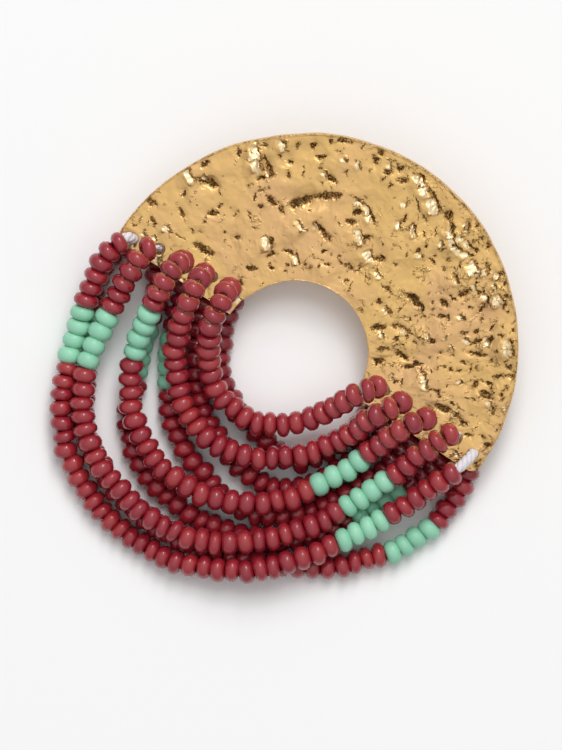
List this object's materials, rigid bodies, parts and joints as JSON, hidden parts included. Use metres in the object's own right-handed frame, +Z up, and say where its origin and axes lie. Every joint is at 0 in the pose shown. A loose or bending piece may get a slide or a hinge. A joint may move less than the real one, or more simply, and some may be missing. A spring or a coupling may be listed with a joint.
{
  "type": "beaded earring",
  "caption": "Large hammered crescent earring plate with an ear post, and layered strings of seed beads that hang from arm to arm.",
  "frame": {"origin": "on the floor under the middle of the lying earring's box", "axes": "+Z up from the floor, which is the plate's front side; +X along the longer side of the box, from the arm on the left to the arm on the right; +Y towards the crown of the plate"},
  "size_m": [0.061, 0.0586, 0.0117],
  "materials": {
    "gold_metal": "hammered, polished",
    "red_bead": "opaque glass, glossy",
    "mint_bead": "opaque glass, satin",
    "thread": "matte"
  },
  "bodies": {
    "root": {"plate": "gold_metal", "strand_front_1": "red_bead", "strand_front_2": "red_bead", "strand_front_3": "red_bead", "strand_front_4": "red_bead", "strand_front_5": "red_bead", "strand_back_1": "red_bead", "strand_back_2": "red_bead", "strand_back_3": "red_bead", "strand_back_4": "red_bead", "strand_back_5": "red_bead", "threads_left": "thread", "threads_right": "thread"}
  },
  "joints": []
}
